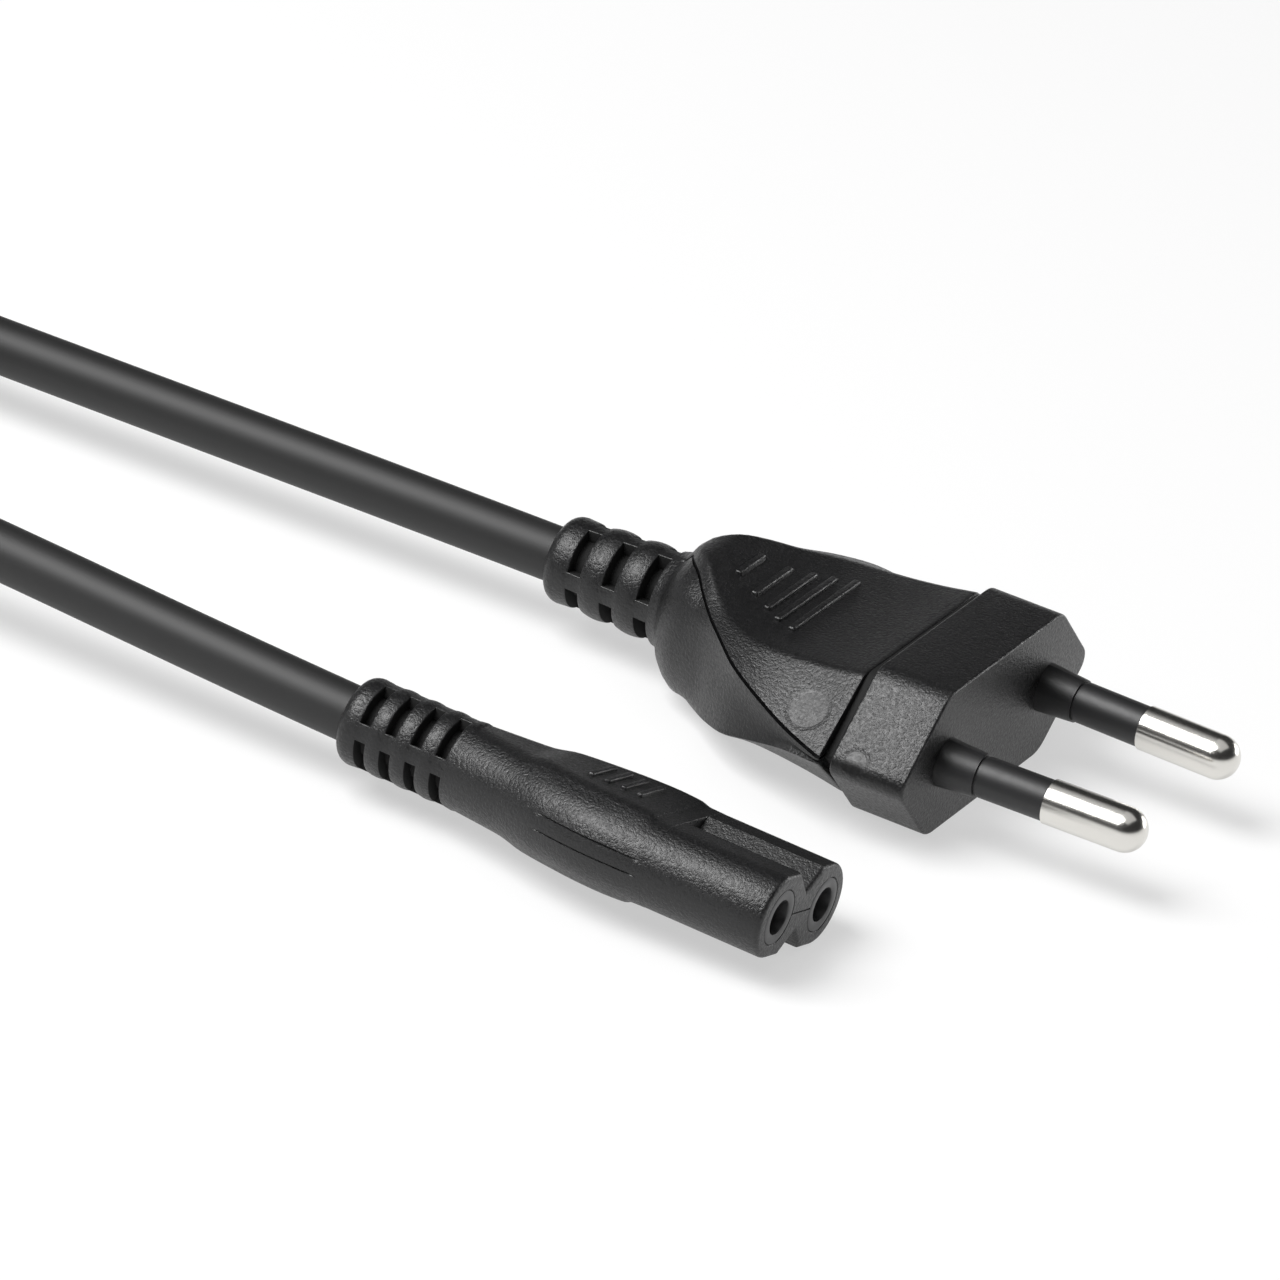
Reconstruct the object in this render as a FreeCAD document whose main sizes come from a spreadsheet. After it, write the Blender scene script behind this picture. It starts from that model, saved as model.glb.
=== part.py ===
import FreeCAD, Part
import math
import os
import Sketcher

V = FreeCAD.Vector
doc = FreeCAD.newDocument("figure_eight_lead")
sheet = doc.addObject("Spreadsheet::Sheet", "sizes")

# Every driving size, in millimetres and degrees. The connector and the plug are each
# described in a frame of their own: X runs out of the end face, which is at X = 0, and
# distances behind that face are given as positive numbers.
SIZES = [
    # the cord: two insulated cores in a round jacket
    ("cord_across", 5.0), ("core_across", 2.2), ("wire_across", 1.0), ("core_apart", 2.3),
    # where the connector lies: its end face, nose down by the tilt, rolled on its far lobe
    ("conn_x", 22.25), ("conn_tilt", 2.0), ("conn_roll", 15.0),
    # connector nose: two lobes with a V notch above and below
    ("hole_apart", 8.6), ("nose_round", 3.65), ("nose_long", 10.5), ("notch_half", 2.2),
    ("notch_foot", 1.8),
    # insert with its two sockets, and the spring contacts
    ("insert_round", 2.45), ("insert_deep", 16.0), ("web_thick", 1.6), ("mouth_round", 1.5),
    ("mouth_deep", 2.5), ("chamber_round", 1.85), ("chamber_deep", 14.0), ("tail_round", 1.4),
    ("contact_round", 1.8), ("contact_bore", 1.2), ("contact_front", 3.0),
    ("contact_deep", 13.5), ("slit_wide", 0.4), ("slit_deep", 11.5), ("barrel_round", 1.25),
    ("barrel_deep", 15.5),
    # connector strain relief
    ("conn_long", 44.5), ("conn_relief", 3.95), ("conn_slot_at", 33.2),
    ("conn_slot_pitch", 2.467), ("conn_slot_wide", 0.8), ("conn_crown", 0.3),
    ("conn_cord_at", 32.0), ("slot_sweep", 66.0), ("relief_front", 31.0),
    # where the cores turn towards the contacts and the pins, and how tightly
    ("conn_core_turn", 30.0), ("conn_core_join", 20.5), ("conn_core_bend", 5.0),
    ("plug_core_turn", 27.6), ("plug_core_join", 20.2), ("plug_core_bend", 4.0),
    # where the plug lies
    ("plug_x", 20.4), ("plug_y", 37.65),
    # plug block and the groove behind it
    ("block_half_wide", 17.65), ("block_half_flat", 10.5), ("block_half_high", 6.85),
    ("block_deep", 7.1), ("block_corner", 3.0), ("block_tip", 1.5), ("block_edge", 0.6),
    ("neck_inset", 1.2), ("neck_end", 8.4),
    # plug strain relief
    ("plug_long", 43.0), ("plug_relief_front", 4.4), ("plug_relief_end", 3.9),
    ("plug_slot_at", 32.4), ("plug_slot_pitch", 3.3), ("plug_slot_wide", 1.05),
    ("plug_crown", 0.35), ("plug_cord_at", 30.6),
    # grip ridges of the plug
    ("ridge_wide", 0.5), ("ridge_high", 0.3), ("grip_wide", 0.4), ("grip_top", 4.4),
    # pins, their sleeves and the bridge that holds them
    ("pin_base_apart", 18.6), ("pin_tip_apart", 17.5), ("pin_long", 19.0), ("pin_round", 2.0),
    ("shank_round", 1.45), ("shank_deep", 17.0), ("sleeve_long", 10.0), ("sleeve_round", 1.84),
    ("sleeve_deep", 3.0), ("sleeve_base", 2.2), ("sleeve_collar", 1.95), ("collar_long", 3.5),
    ("collar_gap", 0.35), ("collar_cut", 0.21), ("wire_hole", 3.5),
    ("bridge_front", 1.5), ("bridge_deep", 11.0), ("bridge_half_wide", 12.0),
    ("bridge_half_high", 2.8),
    # the coil of spare cord and its tie
    ("coil_x", -134.0), ("coil_y", 12.0), ("coil_line", 40.3), ("coil_inner", 17.4),
    ("coil_outer", 43.0), ("coil_high", 10.3), ("coil_corner", 2.0), ("tie_wide", 6.0),
    ("tie_thick", 0.85), ("tie_proud", 0.6), ("tie_over", 1.5), ("conn_run", 72.3),
    ("plug_run", 79.4), ("low_turn", 2.6), ("high_turn", 7.7), ("conn_bend", 36.0),
    ("plug_bend", 120.0),
]

# connector handle: distance behind the face, half of the lobes' distance, lobe radius.
# It starts where the nose ends, with the nose's own section.
HANDLE = [
    ("a", "=nose_long", "=hole_apart / 2", "=nose_round"), ("b", 13.5, 4.3, 3.72), ("c", 17.0, 4.15, 3.8),
    ("d", 22.0, 3.2, 3.8), ("e", 27.0, 1.6, 3.75), ("f", 32.3, 0.3, 3.75),
]
# raised grip panel of the connector: distance behind the face, half width, height
PANEL = [
    ("a", 26.5, 2.0, 3.7), ("b", 24.0, 3.3, 4.1), ("c", 16.7, 4.75, 4.15),
    ("d", 16.1, 4.8, 3.95), ("e", "=nose_long + 0.5", 5.0, 3.9),
]
# grip ridges on that panel: distance behind the face, half length
GRIPS = [("a", 22.2, 1.5), ("b", 20.5, 1.55), ("c", 18.9, 1.6), ("d", 17.2, 1.6)]
# plug body: distance behind the face, half of the flat, its height, half width, seam height
BODY = [
    ("a", 8.4, 10.4, 5.75, 17.2, 0.35), ("b", 12.0, 10.3, 5.15, 15.95, 0.95),
    ("c", 16.0, 10.1, 4.75, 14.5, 2.15), ("d", 19.0, 9.8, 4.62, 13.2, 3.2),
    ("e", 22.0, 8.8, 4.9, 11.0, 4.35), ("f", 24.0, 7.4, 5.4, 9.2, 5.0),
    ("g", 26.0, 5.7, 6.2, 7.2, 5.8), ("h", 28.3, 3.3, 6.82, 4.3, 6.5),
    ("i", 30.0, 0.9, 6.7, 1.5, 6.35),
]
# plug bell behind the body: distance behind the face, half distance of centres, radius
BELL = [
    ("a", 21.5, 5.2, 4.1), ("b", 25.0, 2.3, 6.35), ("c", 28.0, 1.4, 6.2),
    ("d", 30.0, 0.8, 5.4), ("e", 31.6, 0.1, 4.4),
]
# grip ridges on the plug: distance behind the face, half length, height of the surface there
RIDGES = [
    ("a", 18.2, 6.0, 4.64), ("b", 20.0, 5.0, 4.68), ("c", 21.8, 3.9, 4.87),
    ("d", 23.6, 2.9, 5.26), ("e", 25.4, 2.6, 5.93),
]

entries = list(SIZES)
for key, at, gap, radius in HANDLE:
    entries += [("handle_%s_at" % key, at), ("handle_%s_gap" % key, gap),
                ("handle_%s_round" % key, radius)]
for key, at, half, top in PANEL:
    entries += [("panel_%s_at" % key, at), ("panel_%s_half" % key, half),
                ("panel_%s_top" % key, top)]
for key, at, half in GRIPS:
    entries += [("grip_%s_at" % key, at), ("grip_%s_half" % key, half)]
for key, at, flat, top, side, seam in BODY:
    entries += [("body_%s_at" % key, at), ("body_%s_flat" % key, flat),
                ("body_%s_top" % key, top), ("body_%s_side" % key, side),
                ("body_%s_seam" % key, seam)]
for key, at, gap, radius in BELL:
    entries += [("bell_%s_at" % key, at), ("bell_%s_gap" % key, gap),
                ("bell_%s_round" % key, radius)]
for key, at, half, top in RIDGES:
    entries += [("ridge_%s_at" % key, at), ("ridge_%s_half" % key, half),
                ("ridge_%s_top" % key, top)]
for row, (alias, value) in enumerate(entries, start=1):
    sheet.set("A%d" % row, alias)
    sheet.set("B%d" % row, str(value))
    sheet.setAlias("B%d" % row, alias)
# derived sizes
DERIVED = [
    ("conn_up", "=(nose_round + hole_apart / 2 * sin(conn_roll)) * cos(conn_tilt)"),
    ("pin_lean", "=atan((pin_base_apart - pin_tip_apart) / 2 / pin_long)"),
]
for row, (alias, formula) in enumerate(DERIVED, start=len(entries) + 1):
    sheet.set("A%d" % row, alias)
    sheet.set("B%d" % row, formula)
    sheet.setAlias("B%d" % row, alias)
doc.recompute()


# a second sheet works out single expressions, so that the first one stays untouched
trial = doc.addObject("Spreadsheet::Sheet", "trial")


def number(value):
    return float(getattr(value, "Value", value))


def size(alias):
    return number(sheet.get(alias))


def worth(expression):
    """The number that an expression on the sheet stands for."""
    trial.set("A1", "=" + expression)
    trial.recompute()
    return number(trial.get("A1"))


CONN = ("placement(vector(sizes.conn_x; 0; sizes.conn_up); "
        "rotation(0; sizes.conn_tilt; -sizes.conn_roll))")
PLUG = "placement(vector(sizes.plug_x; sizes.plug_y; sizes.block_half_high); rotation(0; 0; 0))"
PINS = {
    "near": ("placement(vector(sizes.plug_x; sizes.plug_y - sizes.pin_base_apart / 2; "
             "sizes.block_half_high); rotation(sizes.pin_lean; 0; 0))"),
    "far": ("placement(vector(sizes.plug_x; sizes.plug_y + sizes.pin_base_apart / 2; "
            "sizes.block_half_high); rotation(-sizes.pin_lean; 0; 0))"),
}
COIL = "placement(vector(sizes.coil_x; sizes.coil_y; 0); rotation(0; 0; 0))"
SIDES = (("near", "-1"), ("far", "1"))


def body_in(name, frame):
    body = doc.addObject("PartDesign::Body", name)
    body.setExpression("Placement", frame)
    doc.recompute()
    return body


def plane(body, role):
    return [f for f in body.Origin.OriginFeatures if f.Role == role][0]


def sketch_on(body, name, role, offset):
    sketch = body.newObject("Sketcher::SketchObject", name)
    sketch.AttachmentSupport = [(plane(body, role), "")]
    sketch.MapMode = "FlatFace"
    if offset != "0":
        sketch.setExpression("AttachmentOffset.Base.z", offset)
    return sketch


def hold(sketch, kind, element, spot, expression):
    """Bind one coordinate of a point to the sheet."""
    if expression == "0":
        axis = -2 if kind == "DistanceX" else -1
        sketch.addConstraint(Sketcher.Constraint("PointOnObject", element, spot, axis))
        return
    index = sketch.addConstraint(Sketcher.Constraint(kind, element, spot, worth(expression)))
    sketch.setExpression("Constraints[%d]" % index, expression)


def loop(sketch, corners):
    """A closed outline through the corners, counter-clockwise. A third entry on a corner is
    the radius of the side that starts there, which then bulges outwards."""
    first = sketch.GeometryCount
    count = len(corners)
    spots = [V(worth(c[0]), worth(c[1]), 0) for c in corners]
    for i, corner in enumerate(corners):
        a = spots[i]
        b = spots[(i + 1) % count]
        if len(corner) == 2:
            sketch.addGeometry(Part.LineSegment(a, b))
            continue
        radius = worth(corner[2])
        half = (b - a).Length / 2
        out = V((b - a).y, -(b - a).x, 0).normalize()
        rise = radius - math.sqrt(radius ** 2 - half ** 2)
        sketch.addGeometry(Part.Arc(a, (a + b) * 0.5 + out * rise, b))
    for i, corner in enumerate(corners):
        after = first + (i + 1) % count
        sketch.addConstraint(Sketcher.Constraint("Coincident", first + i, 2, after, 1))
        hold(sketch, "DistanceX", first + i, 1, corner[0])
        hold(sketch, "DistanceY", first + i, 1, corner[1])
        if len(corner) == 3:
            index = sketch.addConstraint(
                Sketcher.Constraint("Radius", first + i, worth(corner[2])))
            sketch.setExpression("Constraints[%d]" % index, corner[2])


def ring(sketch, across, up, radius):
    """A circle with its centre and radius bound to the sheet."""
    index = sketch.addGeometry(
        Part.Circle(V(worth(across), worth(up), 0), V(0, 0, 1), worth(radius)))
    hold(sketch, "DistanceX", index, 3, across)
    hold(sketch, "DistanceY", index, 3, up)
    row = sketch.addConstraint(Sketcher.Constraint("Radius", index, worth(radius)))
    sketch.setExpression("Constraints[%d]" % row, radius)


def stadium(body, name, offset, gap, radius):
    """Two round lobes side by side, joined by straight lines above and below."""
    sketch = sketch_on(body, name, "YZ_Plane", offset)
    g = worth(gap)
    r = worth(radius)
    up = V(0, 0, 1)
    sketch.addGeometry(Part.ArcOfCircle(Part.Circle(V(g, 0, 0), up, r),
                                        -math.pi / 2, math.pi / 2))
    sketch.addGeometry(Part.LineSegment(V(g, r, 0), V(-g, r, 0)))
    sketch.addGeometry(Part.ArcOfCircle(Part.Circle(V(-g, 0, 0), up, r),
                                        math.pi / 2, 3 * math.pi / 2))
    sketch.addGeometry(Part.LineSegment(V(-g, -r, 0), V(g, -r, 0)))
    for a, b in ((0, 1), (1, 2), (2, 3), (3, 0)):
        sketch.addConstraint(Sketcher.Constraint("Tangent", a, 2, b, 1))
    sketch.addConstraint(Sketcher.Constraint("PointOnObject", 0, 3, -1))
    sketch.addConstraint(Sketcher.Constraint("Symmetric", 0, 3, 2, 3, -1, 1))
    sketch.addConstraint(Sketcher.Constraint("Equal", 0, 2))
    hold(sketch, "DistanceX", 0, 3, gap)
    row = sketch.addConstraint(Sketcher.Constraint("Radius", 0, r))
    sketch.setExpression("Constraints[%d]" % row, radius)
    return sketch


def volume(body):
    doc.recompute()
    return body.Shape.Volume


def pad(body, name, sketch, length, middle=False):
    feature = body.newObject("PartDesign::Pad", name)
    feature.Profile = sketch
    feature.setExpression("Length", length)
    if middle:
        feature.Midplane = True
    doc.recompute()
    return feature


def pocket(body, name, sketch, length, middle=False):
    before = volume(body)
    feature = body.newObject("PartDesign::Pocket", name)
    feature.Profile = sketch
    feature.setExpression("Length", length)
    if middle:
        feature.Midplane = True
    if volume(body) >= before:
        raise RuntimeError(name + " takes nothing away")
    return feature


def turned(body, name, sketch):
    feature = body.newObject("PartDesign::Revolution", name)
    feature.Profile = sketch
    feature.ReferenceAxis = (sketch, ["H_Axis"])
    feature.Angle = 360
    doc.recompute()
    return feature


def loft(body, name, sketches, straight=False):
    feature = body.newObject("PartDesign::AdditiveLoft", name)
    feature.Profile = sketches[0]
    feature.Sections = sketches[1:]
    feature.Ruled = straight
    doc.recompute()
    return feature


def slots(body, prefix, rows, reach):
    """Rows of four arched slots round the strain relief, open to the cord."""
    sketch = sketch_on(body, prefix + "_slots", "XZ_Plane", "0")
    sketch.AttachmentOffset = FreeCAD.Placement(V(0, 0, 0), FreeCAD.Rotation(V(1, 0, 0), 45))
    for i in range(rows):
        at = "-(sizes.%s_slot_at + %d * sizes.%s_slot_pitch)" % (prefix, i, prefix)
        left = at + " - sizes.%s_slot_wide / 2" % prefix
        right = at + " + sizes.%s_slot_wide / 2" % prefix
        low = "sizes.cord_across / 2 - 0.3"
        high = reach + " + 1"
        loop(sketch, [(left, low), (right, low), (right, high), (left, high)])
    before = volume(body)
    cut = body.newObject("PartDesign::Groove", prefix + "_slot_row")
    cut.Profile = sketch
    cut.ReferenceAxis = (sketch, ["H_Axis"])
    cut.Midplane = True
    cut.setExpression("Angle", "sizes.slot_sweep")
    once = volume(body)
    if once >= before:
        raise RuntimeError(prefix + " slots take nothing away")
    around = body.newObject("PartDesign::PolarPattern", prefix + "_slots_around")
    around.Originals = [cut]
    around.Axis = (plane(body, "X_Axis"), [""])
    around.Angle = 360
    around.Occurrences = 4
    body.Tip = around
    if volume(body) >= once:
        raise RuntimeError(prefix + " slots stand on one side only")


def rod(points, bend, across):
    """A round rod along straight runs joined by tangent arcs."""
    spots = [V(*p) for p in points]
    edges = []
    start = spots[0]
    for i in range(1, len(spots) - 1):
        back = (spots[i - 1] - spots[i]).normalize()
        on = (spots[i + 1] - spots[i]).normalize()
        turn = math.pi - back.getAngle(on)
        reach = bend * math.tan(turn / 2)
        inward = (back + on).normalize()
        middle = spots[i] + inward * (bend / math.cos(turn / 2) - bend)
        a = spots[i] + back * reach
        b = spots[i] + on * reach
        edges.append(Part.LineSegment(start, a).toShape())
        edges.append(Part.Arc(a, middle, b).toShape())
        start = b
    edges.append(Part.LineSegment(start, spots[-1]).toShape())
    path = Part.Wire(edges)
    disc = Part.Wire([Part.makeCircle(across / 2, spots[0], spots[1] - spots[0])])
    shape = path.makePipeShell([disc], True, False)
    wanted = math.pi * across ** 2 / 4 * path.Length
    if abs(shape.Volume - wanted) > 0.01 * wanted:
        raise RuntimeError("a rod has the wrong volume")
    return shape


def placed(name, shape, placement):
    feature = doc.addObject("Part::Feature", name)
    feature.Shape = shape
    feature.Placement = placement
    return feature


def taken(name, base, tools):
    """The base without the space that the tools fill."""
    tool = tools[0]
    if len(tools) > 1:
        tool = doc.addObject("Part::Compound", name + "_spaces")
        tool.Links = tools
    cut = doc.addObject("Part::Cut", name)
    cut.Base = base
    cut.Tool = tool
    doc.recompute()
    if cut.Shape.Volume >= base.Shape.Volume:
        raise RuntimeError(name + " loses nothing to its tools")
    return cut


NODES = []


def node(name, thing):
    thing.Label = name
    NODES.append((name, thing))
    return thing


# The connector's nose, handle and strain relief are one moulding.
conn = body_in("conn_moulding", CONN)
nose = stadium(conn, "nose_end", "-sizes.nose_long - 0.5", "sizes.hole_apart / 2",
               "sizes.nose_round")
pad(conn, "nose", nose, "sizes.nose_long + 0.5")
notch = sketch_on(conn, "nose_notches", "YZ_Plane", "0")
for sign in ("", "-"):
    foot = ("0", sign + "sizes.notch_foot")
    edge = "%ssizes.nose_round" % sign
    # the notch's flanks run on past the surface, so its sides stay straight there
    over = "%s(sizes.nose_round + 0.5)" % sign
    wide = ("sizes.notch_half * (sizes.nose_round + 0.5 - sizes.notch_foot)"
            " / (sizes.nose_round - sizes.notch_foot)")
    corners = [foot, (wide, over), ("-" + wide, over)]
    if sign:
        corners = [foot, ("-" + wide, over), (wide, over)]
    loop(notch, corners)
pocket(conn, "notches", notch, "sizes.nose_long")
stations = [stadium(conn, "handle_" + k, "-sizes.handle_%s_at" % k,
                    "sizes.handle_%s_gap" % k, "sizes.handle_%s_round" % k)
            for k, at, gap, radius in HANDLE]
loft(conn, "handle", stations)
sections = []
for key, at, half, top in PANEL:
    at, half, top = ["sizes.panel_%s_%s" % (key, part) for part in ("at", "half", "top")]
    sketch = sketch_on(conn, "panel_" + key, "YZ_Plane", "-" + at)
    loop(sketch, [("-%s - 0.1" % half, "2"), (half + " + 0.1", "2"), (half, top),
                  ("-" + half, top)])
    sections.append(sketch)
grips = [loft(conn, "panel", sections, True)]
for key, at, half in GRIPS:
    at, half = ["sizes.grip_%s_%s" % (key, part) for part in ("at", "half")]
    sketch = sketch_on(conn, "grip_line_" + key, "XY_Plane", "3")
    left = "-%s - sizes.grip_wide / 2" % at
    right = "-%s + sizes.grip_wide / 2" % at
    loop(sketch, [(left, "-" + half), (right, "-" + half), (right, half), (left, half)])
    grips.append(pad(conn, "grip_" + key, sketch, "sizes.grip_top - 3"))
below = conn.newObject("PartDesign::Mirrored", "panel_below")
below.Originals = grips
below.MirrorPlane = (plane(conn, "XY_Plane"), [""])
before = volume(conn)
conn.Tip = below
if volume(conn) <= before:
    raise RuntimeError("the grip panel stands on one side only")
relief = sketch_on(conn, "relief_line", "XZ_Plane", "0")
crown = ("((sizes.conn_slot_pitch / 2) ^ 2 + sizes.conn_crown ^ 2) / (2 * sizes.conn_crown)")
valley = "sizes.conn_relief - sizes.conn_crown"
line = [("-sizes.conn_long", "0"), ("-sizes.relief_front", "0"),
        ("-sizes.relief_front", "sizes.conn_relief - 0.4")]
for i in range(4):
    line.append(("-(sizes.conn_slot_at + %d * sizes.conn_slot_pitch)" % i, valley, crown))
line[-1] = (line[-1][0], valley, "3 * sizes.conn_relief")
line.append(("-sizes.conn_long + 0.8", "sizes.conn_relief - 0.1", "1"))
line.append(("-sizes.conn_long", "sizes.conn_relief - 0.8"))
loop(relief, line)
turned(conn, "relief", relief)
slots(conn, "conn", 4, "sizes.conn_relief")

# The insert shows flush in the end face and holds the two sockets.
insert_room = body_in("insert_room", CONN)
insert = body_in("connector_insert", CONN)
for thing, tag in ((insert_room, "room"), (insert, "insert")):
    outline = sketch_on(thing, tag + "_posts", "YZ_Plane", "-sizes.insert_deep")
    ring(outline, "-sizes.hole_apart / 2", "0", "sizes.insert_round")
    web = sketch_on(thing, tag + "_web", "YZ_Plane", "-sizes.insert_deep")
    half = "sizes.hole_apart / 2"
    thick = "sizes.web_thick / 2"
    loop(web, [("-" + half, "-" + thick), (half, "-" + thick), (half, thick),
               ("-" + half, thick)])
    second = sketch_on(thing, tag + "_post", "YZ_Plane", "-sizes.insert_deep")
    ring(second, "sizes.hole_apart / 2", "0", "sizes.insert_round")
    pad(thing, tag + "_near", outline, "sizes.insert_deep")
    pad(thing, tag + "_middle", web, "sizes.insert_deep")
    pad(thing, tag + "_far", second, "sizes.insert_deep")
for tag, at, radius, deep in (
        ("mouth", "0", "sizes.mouth_round", "sizes.mouth_deep"),
        ("chamber", "-sizes.mouth_deep", "sizes.chamber_round",
         "sizes.chamber_deep - sizes.mouth_deep"),
        ("tail", "-sizes.chamber_deep", "sizes.tail_round",
         "sizes.insert_deep - sizes.chamber_deep")):
    holes = sketch_on(insert, tag + "_holes", "YZ_Plane", at)
    ring(holes, "-sizes.hole_apart / 2", "0", radius)
    ring(holes, "sizes.hole_apart / 2", "0", radius)
    pocket(insert, tag, holes, deep)

# Spring contacts with their crimped wires, cores and bare ends.
conn_place = conn.Placement
cord_half = size("core_apart") / 2
contacts = {}
conn_cores = {}
conn_wires = {}
conn_core_rods = {}
for side, sign in SIDES:
    contact = body_in("contact_" + side, CONN)
    middle = sign + " * sizes.hole_apart / 2"
    tube = sketch_on(contact, "tube_" + side, "YZ_Plane", "-sizes.contact_deep")
    ring(tube, middle, "0", "sizes.contact_round")
    ring(tube, middle, "0", "sizes.contact_bore")
    pad(contact, "socket_" + side, tube, "sizes.contact_deep - sizes.contact_front")
    barrel = sketch_on(contact, "barrel_ring_" + side, "YZ_Plane", "-sizes.barrel_deep")
    ring(barrel, middle, "0", "sizes.barrel_round")
    ring(barrel, middle, "0", "sizes.wire_across / 2")
    pad(contact, "barrel_" + side, barrel, "sizes.barrel_deep - sizes.contact_deep + 0.2")
    disc = sketch_on(contact, "floor_disc_" + side, "YZ_Plane", "-sizes.contact_deep")
    ring(disc, middle, "0", "sizes.contact_round")
    pad(contact, "floor_" + side, disc, "0.8")
    slit = sketch_on(contact, "slit_line_" + side, "YZ_Plane", "-sizes.contact_front + 0.1")
    left = middle + " - sizes.slit_wide / 2"
    right = middle + " + sizes.slit_wide / 2"
    loop(slit, [(left, "-sizes.contact_round - 0.2"), (right, "-sizes.contact_round - 0.2"),
                (right, "sizes.contact_round + 0.2"), (left, "sizes.contact_round + 0.2")])
    pocket(contact, "slit_" + side, slit, "sizes.slit_deep - sizes.contact_front")
    contacts[side] = contact
    s = float(sign)
    lead = [(-size("conn_cord_at"), s * cord_half, 0),
            (-size("conn_core_turn"), s * cord_half, 0),
            (-size("conn_core_join"), s * size("hole_apart") / 2, 0)]
    wire = rod(lead + [(-size("contact_deep"), s * size("hole_apart") / 2, 0)],
               size("conn_core_bend"), size("wire_across"))
    core = rod(lead + [(-size("insert_deep"), s * size("hole_apart") / 2, 0)],
               size("conn_core_bend"), size("core_across"))
    conn_wires[side] = placed("conn_wire_" + side, wire, conn_place)
    conn_core_rods[side] = placed("conn_core_rod_" + side, core, conn_place)
    conn_cores[side] = taken("conn_core_" + side, conn_core_rods[side], [conn_wires[side]])

# The plug's block, pads, bell and strain relief are one moulding.
plug = body_in("plug_moulding", PLUG)


def hexagon(body, name, offset, inset):
    sketch = sketch_on(body, name, "YZ_Plane", offset)
    wide = "(sizes.block_half_wide - %s * 1.4)" % inset
    flat = "(sizes.block_half_flat - %s * 0.4)" % inset
    high = "(sizes.block_half_high - %s)" % inset
    loop(sketch, [(wide, "0"), (flat, high), ("-" + flat, high), ("-" + wide, "0"),
                  ("-" + flat, "-" + high), (flat, "-" + high)])
    return sketch


def long_edges(shape, spots):
    """Names of the edges along X that pass through the given points of the section."""
    names = []
    for i, edge in enumerate(shape.Edges):
        a = edge.Vertexes[0].Point
        b = edge.Vertexes[-1].Point
        if abs(a.y - b.y) + abs(a.z - b.z) > 0.001 or abs(a.x - b.x) < 0.001:
            continue
        for y, z in spots:
            if abs(abs(a.y) - y) < 0.001 and abs(abs(a.z) - z) < 0.001:
                names.append("Edge%d" % (i + 1))
    return names


block = pad(plug, "block", hexagon(plug, "block_line", "-sizes.block_deep", "0"),
            "sizes.block_deep")
corners = plug.newObject("PartDesign::Fillet", "block_corners")
spots = [(size("block_half_flat"), size("block_half_high"))]
corners.Base = (block, long_edges(block.Shape, spots))
corners.setExpression("Radius", "sizes.block_corner")
doc.recompute()
tips = plug.newObject("PartDesign::Fillet", "block_tips")
tips.Base = (corners, long_edges(corners.Shape, [(size("block_half_wide"), 0)]))
tips.setExpression("Radius", "sizes.block_tip")
doc.recompute()
rims = []
for i, edge in enumerate(tips.Shape.Edges):
    box = edge.BoundBox
    if box.XLength < 0.001 and abs(box.XMax) < 0.001:
        rims.append("Edge%d" % (i + 1))
front = plug.newObject("PartDesign::Fillet", "block_front")
front.Base = (tips, rims)
front.setExpression("Radius", "sizes.block_edge")
doc.recompute()
neck = hexagon(plug, "neck_line", "-sizes.neck_end - 0.5", "sizes.neck_inset")
pad(plug, "neck", neck, "sizes.neck_end - sizes.block_deep + 1.5")
sections = []
for key, at, flat, top, side, seam in BODY:
    names = ["sizes.body_%s_%s" % (key, part) for part in ("at", "flat", "top", "side", "seam")]
    at, flat, top, side, seam = names
    sketch = sketch_on(plug, "body_" + key, "YZ_Plane", "-" + at)
    loop(sketch, [(side, "-" + seam), (side, seam), (flat, top), ("-" + flat, top),
                  ("-" + side, seam), ("-" + side, "-" + seam), ("-" + flat, "-" + top),
                  (flat, "-" + top)])
    sections.append(sketch)
loft(plug, "pads", sections)
bells = [stadium(plug, "bell_" + k, "-sizes.bell_%s_at" % k, "sizes.bell_%s_gap" % k,
                 "sizes.bell_%s_round" % k) for k, at, gap, radius in BELL]
loft(plug, "bell", bells)
relief = sketch_on(plug, "plug_relief_line", "XZ_Plane", "0")
line = [("-sizes.plug_long", "0"), ("-sizes.relief_front + 0.5", "0"),
        ("-sizes.relief_front + 0.5", "sizes.plug_relief_front - 0.1")]
crown = "((sizes.plug_slot_pitch / 2) ^ 2 + sizes.plug_crown ^ 2) / (2 * sizes.plug_crown)"
fall = "(sizes.plug_relief_front - sizes.plug_relief_end)"
for i in range(3):
    line.append(("-(sizes.plug_slot_at + %d * sizes.plug_slot_pitch)" % i,
                 "sizes.plug_relief_front - sizes.plug_crown - %s * %d / 3" % (fall, i), crown))
line[-1] = (line[-1][0], line[-1][1], "3 * sizes.plug_relief_end")
line.append(("-sizes.plug_long + 0.9", "sizes.plug_relief_end - 0.1", "1.1"))
line.append(("-sizes.plug_long", "sizes.plug_relief_end - 0.9"))
loop(relief, line)
turned(plug, "plug_relief", relief)
slots(plug, "plug", 3, "sizes.plug_relief_front")
ridges = []
for key, at, half, top in RIDGES:
    at, half, top = ["sizes.ridge_%s_%s" % (key, part) for part in ("at", "half", "top")]
    sketch = sketch_on(plug, "ridge_" + key, "XY_Plane", top + " - 0.6")
    left = "-%s - sizes.ridge_wide / 2" % at
    right = "-%s + sizes.ridge_wide / 2" % at
    loop(sketch, [(left, "-" + half), (right, "-" + half), (right, half), (left, half)])
    ridges.append(pad(plug, "grip_" + key, sketch, "sizes.ridge_high + 0.6"))
below = plug.newObject("PartDesign::Mirrored", "grips_below")
below.Originals = ridges
below.MirrorPlane = (plane(plug, "XY_Plane"), [""])
before = volume(plug)
plug.Tip = below
if volume(plug) <= before:
    raise RuntimeError("the ridges stand on one side only")

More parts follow.
